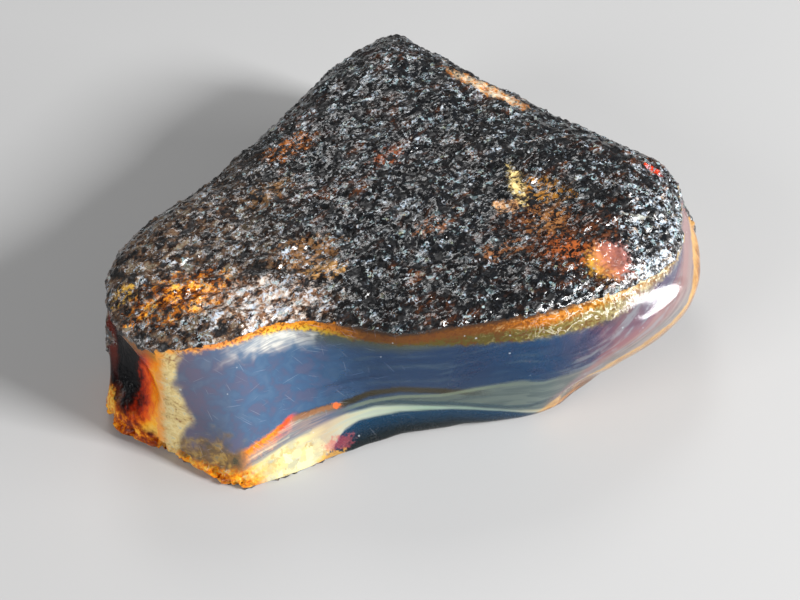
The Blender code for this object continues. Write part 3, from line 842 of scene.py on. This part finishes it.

    # The lower left: olive and brown over the foot, orange along it, partly a painted glow of light through
    # the thin foot.
    low = seam * 0.8 - paint.ease(x, -14.0, -19.0) * 2.4 + (soft - 0.5) * 5.0 + paint.ragged
    tan = paint.ease(low, 1.2, -1.0) * paint.ease(x, -14.6, -16.4)
    tan_colour = paint.ramp(
        clouds + (wisps - 0.5) * 0.6,
        [
            (0.3, (0.10, 0.075, 0.02)), (0.5, (0.26, 0.14, 0.03)), (0.62, (0.50, 0.30, 0.05)),
            (0.75, (0.28, 0.22, 0.10)),
        ],
    )
    colour = paint.blend(tan * 0.85, colour, tan_colour)
    tip_glow = paint.ease(z + paint.fine * 0.8 + paint.ragged * 2.2, 2.5, 1.1)
    tip_glow *= paint.between(x, -24.4, 0.4, -13.8, 0.9)
    tip_glow_colour = paint.ramp(
        paint.fine + (clouds - 0.5),
        [
            (-0.35, (0.30, 0.04, 0.002)), (-0.1, (0.85, 0.22, 0.004)), (0.1, (0.95, 0.46, 0.02)),
            (0.3, (0.95, 0.76, 0.26)),
        ],
    )
    colour = paint.blend(tip_glow * 0.95, colour, tip_glow_colour)

    # The cream strip at the left corner.
    wave = paint.noise(paint.place, 0.4, 1.0, 0.5) - 0.5
    strip = paint.ease(paint.guide("left_cream") + wave * 3.0 + paint.fine * 0.4, 0.6, -0.5)
    strip_colour = paint.ramp(
        clouds + (wisps - 0.5) * 0.8,
        [
            (0.3, (0.34, 0.17, 0.05)), (0.45, (0.66, 0.48, 0.18)), (0.6, (0.82, 0.66, 0.30)),
            (0.75, (0.50, 0.48, 0.34)),
        ],
    )
    edge = paint.ease(paint.guide("corner") + paint.ragged * 1.2, 1.1, 0.1)
    strip_colour = paint.blend(edge, strip_colour, (0.95, 0.34, 0.010))
    colour = paint.blend(strip * 0.92, colour, strip_colour)

    # The right end: rose and pale streaks that run together, a golden fringe along the outline.
    blush = paint.guide("blush")
    rosy = paint.ease(abs(blush + (streaks - 0.5) * 2.0), 1.5, 0.2) * paint.ease(x, 13.0, 16.5)
    colour = paint.blend(rosy * 0.5, colour, (0.34, 0.15, 0.15))
    pale = paint.ease(streaks + (clouds - 0.5) * 0.3, 0.52, 0.66) * paint.ease(x, 14.0, 19.0)
    colour = paint.blend(pale * 0.5, colour, (0.30, 0.32, 0.34))
    fringe_height = paint.guide("fringe")
    under = paint.ease(fringe_height + paint.ragged * 0.9, 0.9, 0.2) * paint.ease(x, 12.0, 14.5)
    fringe_colour = paint.ramp(
        fringe_height + (clouds - 0.5) * 7.0 + paint.ragged * 1.5 + paint.fine * 2.5,
        [
            (-9.0, (0.018, 0.006, 0.003)), (-5.0, (0.075, 0.022, 0.005)), (-2.6, (0.22, 0.075, 0.012)),
            (-1.0, (0.46, 0.22, 0.05)), (0.4, (0.62, 0.36, 0.12)),
        ],
    )
    colour = paint.blend(under * 0.9, colour, fringe_colour)
    nick = paint.patch((16.6, -17.4, 3.6), (1.2, 2.0, 1.3), 30.0, 1.0)
    colour = paint.blend(nick * 0.8, colour, (0.012, 0.045, 0.05))

    # The orange border, cracked and chipped towards the right end.
    orange_foot = paint.guide("orange_foot")
    border = paint.ease(orange_foot + paint.ragged * 1.2 + paint.fine * 0.5, -0.3, 0.3)
    upper = paint.ramp(
        x + paint.fine * 5.0,
        [
            (-24.0, (0.80, 0.36, 0.06)), (-17.0, (0.72, 0.24, 0.05)), (-13.0, (0.90, 0.34, 0.03)),
            (-8.0, (0.68, 0.22, 0.015)), (-4.0, (0.13, 0.044, 0.003)), (8.0, (0.14, 0.044, 0.003)),
            (13.0, (0.50, 0.15, 0.005)), (19.0, (0.46, 0.21, 0.03)), (25.0, (0.30, 0.22, 0.11)),
            (30.0, (0.36, 0.25, 0.08)),
        ],
    )
    lower = paint.ramp(
        x + paint.ragged * 4.0,
        [
            (-24.0, (0.78, 0.55, 0.24)), (-17.0, (0.88, 0.62, 0.22)), (-12.0, (0.95, 0.66, 0.08)),
            (-8.0, (0.52, 0.33, 0.02)), (-4.0, (0.085, 0.065, 0.006)), (8.0, (0.075, 0.060, 0.008)),
            (14.0, (0.14, 0.11, 0.02)), (19.0, (0.22, 0.18, 0.07)), (25.0, (0.24, 0.21, 0.16)),
            (30.0, (0.34, 0.29, 0.26)),
        ],
    )
    heat = paint.ease(
        rim + paint.fine * 1.6 + paint.ragged * 0.8 - paint.between(x, -6.0, 2.0, 17.0, 3.0) * 0.8, 1.2, 0.4
    )
    glow = paint.blend(heat, lower, upper)
    dim = paint.ease(wisps + paint.fine * 0.8, 0.52, 0.38)
    glow = paint.blend(dim * 0.7, glow, (0.10, 0.026, 0.003))
    bright = paint.ease(wisps + paint.fine * 0.6, 0.56, 0.70) * paint.ease(x, 3.0, 14.0)
    glow = paint.blend(bright * 0.5, glow, (0.62, 0.50, 0.24))
    crack = paint.ease(abs(clouds + paint.fine * 0.15 - 0.5), 0.022, 0.008) * paint.ease(x, 10.0, 17.0)
    glow = paint.blend(crack * 0.7, glow, (0.86, 0.82, 0.66))
    # A painted shadow: a near-black line just under the crust's overhang.
    overhang_shadow = paint.ease(rim + paint.fine * 0.6, 0.75, 0.20) * paint.between(x, -6.0, 2.0, 17.0, 3.0)
    glow = paint.blend(overhang_shadow * 0.85, glow, (0.03, 0.015, 0.008))
    colour = paint.blend(border, colour, glow)

    # A painted highlight over rubbed and scratched polish under the border at the left, hairlines and specks
    # elsewhere.
    run = along * 0.98 - rim * 0.20
    side = along * 0.20 + rim * 0.98
    grain = paint.noise(paint.join(run * 0.4, side * 4.5, 9.0), 1.0, 3.0, 0.6)
    rubbed_sheen = (
        (0.55 + 0.45 * paint.ease(grain, 0.40, 0.62))
        * paint.ease(orange_foot + paint.ragged * 0.6, 0.2, -0.3)
        * paint.ease(orange_foot + (soft - 0.5) * 3.0, -2.6, -0.5)
        * paint.between(x + (soft - 0.5) * 6.0, -15.0, 3.0, -9.3, 2.0)
    )
    colour = paint.blend(rubbed_sheen * 0.97, colour, (1.0, 0.98, 0.88))
    lines = scratches(paint, along, rim) * paint.ease(x + (clouds - 0.5) * 20.0, 4.0, -6.0)
    colour = paint.blend(lines * 0.24, colour, (0.55, 0.60, 0.70))
    dust = paint.cells(paint.place, 0.9)
    dust_chance = paint.node("ShaderNodeSeparateXYZ", {}, (dust.other("Color"),))
    specks = paint.ease(dust + paint.fine * 0.25, 0.12, 0.05) * paint.ease(dust_chance, 0.80, 0.86)
    colour = paint.blend(specks * 0.6, colour, (0.60, 0.65, 0.68))

    solid = paint.most(paint.most(border, cream), paint.most(strip, paint.most(tip_glow, ember)))
    haze = 0.78 + 0.22 * solid - deep * (1.0 - cream) * 0.15
    return colour, haze


def end_colour(paint):
    """The broken left end: a glossy hollow painted near black as shade, with red and orange where its edges
    are thin, partly a painted glow of light through them.
    """
    corner = paint.guide("corner")
    wave = paint.noise(paint.place, 0.45, 2.0, 0.5) - 0.5
    near = corner + paint.ragged * 1.5 + paint.fine * 0.6
    low = paint.ease(paint.z, 5.4, 2.2)
    far = paint.ease(paint.y + wave * 3.0, -15.8, -13.0)
    # From the painted shade of the middle out to the painted glow at the thin edges.
    shade_to_glow = near - 0.5 + wave * 2.0 + low * 1.9 + far * 1.6
    colour = paint.ramp(
        shade_to_glow,
        [
            (-3.2, (0.001, 0.001, 0.002)), (-2.6, (0.020, 0.002, 0.001)), (-2.1, (0.36, 0.020, 0.001)),
            (-1.5, (0.80, 0.085, 0.001)), (-0.9, (0.95, 0.26, 0.003)), (-0.3, (1.0, 0.46, 0.02)),
            (0.4, (0.95, 0.55, 0.08)),
        ],
    )
    streaks = paint.noise(paint.join(paint.x * 2.2, paint.y * 2.2, paint.z * 0.45), 1.0, 4.0, 0.6)
    smoke = paint.ease(streaks, 0.52, 0.70) * paint.ease(paint.z, 6.0, 11.0) * paint.ease(near, -2.0, -3.0)
    colour = paint.blend(smoke * 0.5, colour, (0.075, 0.065, 0.060))
    warm = paint.ease(paint.z + paint.ragged * 2.0, 13.2, 14.6)
    colour = paint.blend(warm * 0.8, colour, (0.30, 0.12, 0.03))
    # The foot of the end is orange, partly a painted glow of light through the thin amber there.
    foot_glow = paint.ease(paint.z + wave * 4.0 + paint.ragged * 2.0 + near * 0.2, 3.8, 1.8)
    foot_glow_colour = paint.ramp(
        paint.fine * 0.5 + paint.ragged * 1.6,
        [
            (-0.3, (0.08, 0.007, 0.001)), (-0.05, (0.30, 0.036, 0.001)), (0.14, (0.75, 0.20, 0.003)),
            (0.32, (0.98, 0.55, 0.05)),
        ],
    )
    colour = paint.blend(foot_glow, colour, foot_glow_colour)
    # A painted highlight on the leftmost ledge.
    lit = paint.patch((-29.6, -18.0, 2.7), (1.0, 2.0, 1.9), 0.0, 1.4)
    lit_colour = paint.blend(paint.ease(paint.fine, -0.12, 0.10), (0.80, 0.24, 0.01), (0.98, 0.64, 0.10))
    colour = paint.blend(lit * 0.75, colour, lit_colour)
    red = paint.ease(paint.x + paint.ragged, -28.2, -28.9) * paint.ease(paint.z, 4.5, 7.0)
    return paint.blend(red * 0.6, colour, (0.16, 0.02, 0.01))


AMBER_IOR = 1.54
AMBER_TINT = (1.0, 0.52, 0.12, 1.0)  # the colour that light keeps in the depth of the amber
AMBER_DENSITY = 90.0


def stone_finish():
    made = bpy.data.materials.new("amber_and_crust")
    made.use_nodes = True
    paint = Paint(made.node_tree)
    crust = crust_shader(paint)

    colour, haze_share = window_colour(paint)
    ripple = paint.noise(paint.place, 0.8, 3.0, 0.55) + paint.fine * 0.12
    gloss = paint.node("ShaderNodeBump", {}, {"Strength": 0.5, "Distance": 0.05 * MM, "Height": ripple})
    haze = paint.node(
        "ShaderNodeBsdfPrincipled",
        {},
        {"Base Color": colour, "Roughness": 0.10, "Normal": gloss, "Specular IOR Level": 0.28},
    )
    clear = paint.node(
        "ShaderNodeBsdfPrincipled",
        {},
        {
            "Base Color": (1.0, 0.96, 0.9, 1.0),
            "Roughness": 0.03,
            "IOR": AMBER_IOR,
            "Transmission Weight": 1.0,
        },
    )
    window = paint.node("ShaderNodeMixShader", {}, (haze_share, clear, haze))

    dents = paint.ragged + paint.fine * 0.3
    end_bump = paint.node("ShaderNodeBump", {}, {"Strength": 0.6, "Distance": 0.2 * MM, "Height": dents})
    end = paint.node(
        "ShaderNodeBsdfPrincipled",
        {},
        {"Base Color": end_colour(paint), "Roughness": 0.12, "Normal": end_bump, "Specular IOR Level": 0.13},
    )
    frayed = paint.ragged * 1.6 + paint.fine * 0.4
    at_end = paint.ease(paint.guide("end") + frayed, -0.12, 0.12)
    at_window = paint.ease(paint.guide("polish") + frayed, -0.12, 0.12)
    surface = paint.node("ShaderNodeMixShader", {}, (at_end, crust, end))
    surface = paint.node("ShaderNodeMixShader", {}, (at_window, surface, window))
    depth = paint.node("ShaderNodeVolumeAbsorption", {}, {"Color": AMBER_TINT, "Density": AMBER_DENSITY})
    paint.node("ShaderNodeOutputMaterial", {}, {"Surface": surface, "Volume": depth})
    return made


finish = stone_finish()
lump = build_lump(finish)
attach(lump, "root")
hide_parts(NODE)

# ---- floor, light and camera ----

FLOOR_HALF = 1.5  # metres
LENS = 70.0
SENSOR = 36.0
CAMERA_PLACE = (-0.4914, -114.4115, 125.1196)  # in millimetres
CAMERA_TILT = 42.0  # degrees up from looking straight down
DAYLIGHT = 0.16


def material(name, colour, roughness):
    made = bpy.data.materials.new(name)
    made.use_nodes = True
    shader = made.node_tree.nodes["Principled BSDF"]
    shader.inputs["Base Color"].default_value = (*colour, 1.0)
    shader.inputs["Roughness"].default_value = roughness
    return made


def floor():
    mesh = bpy.data.meshes.new("floor")
    half = FLOOR_HALF
    corners = [(-half, -half, 0), (half, -half, 0), (half, half, 0), (-half, half, 0)]
    mesh.from_pydata(corners, [], [(0, 1, 2, 3)])
    thing = bpy.data.objects.new("floor", mesh)
    bpy.context.scene.collection.objects.link(thing)
    mesh.materials.append(material("floor", (0.52, 0.52, 0.52), 0.8))


def softbox(name, plan, elevation, distance, width, height, power):
    """An area light that looks at the stone from a plan angle, 0 along +x, and an elevation, in degrees."""
    light = bpy.data.lights.new(name, "AREA")
    light.shape = "RECTANGLE"
    light.size = width
    light.size_y = height
    light.energy = power
    thing = bpy.data.objects.new(name, light)
    a, e = math.radians(plan), math.radians(elevation)
    thing.location = (
        distance * math.cos(a) * math.cos(e),
        distance * math.sin(a) * math.cos(e),
        distance * math.sin(e),
    )
    thing.rotation_euler = (math.radians(90.0 - elevation), 0.0, a + math.pi / 2)
    bpy.context.scene.collection.objects.link(thing)


floor()
softbox("key", -23.5, 32.0, 0.55, 0.14, 0.14, 4.2)
softbox("back", 100.0, 50.0, 0.6, 0.18, 0.18, 0.7)
softbox("strip", -5.0, 10.0, 0.5, 0.26, 0.07, 1.7)
softbox("fill", -145.0, 24.0, 0.6, 0.30, 0.30, 1.5)
world = bpy.data.worlds.new("studio")
world.use_nodes = True
world.node_tree.nodes["Background"].inputs["Color"].default_value = (1.0, 1.0, 1.0, 1.0)
world.node_tree.nodes["Background"].inputs["Strength"].default_value = DAYLIGHT
bpy.context.scene.world = world
bpy.context.scene.view_settings.view_transform = "Standard"

lens = bpy.data.cameras.new("camera")
lens.lens = LENS
lens.sensor_width = SENSOR
lens.clip_start = 0.01
camera = bpy.data.objects.new("camera", lens)
camera.location = [place * MM for place in CAMERA_PLACE]
camera.rotation_euler = (math.radians(CAMERA_TILT), 0.0, 0.0)
bpy.context.scene.collection.objects.link(camera)
bpy.context.scene.camera = camera
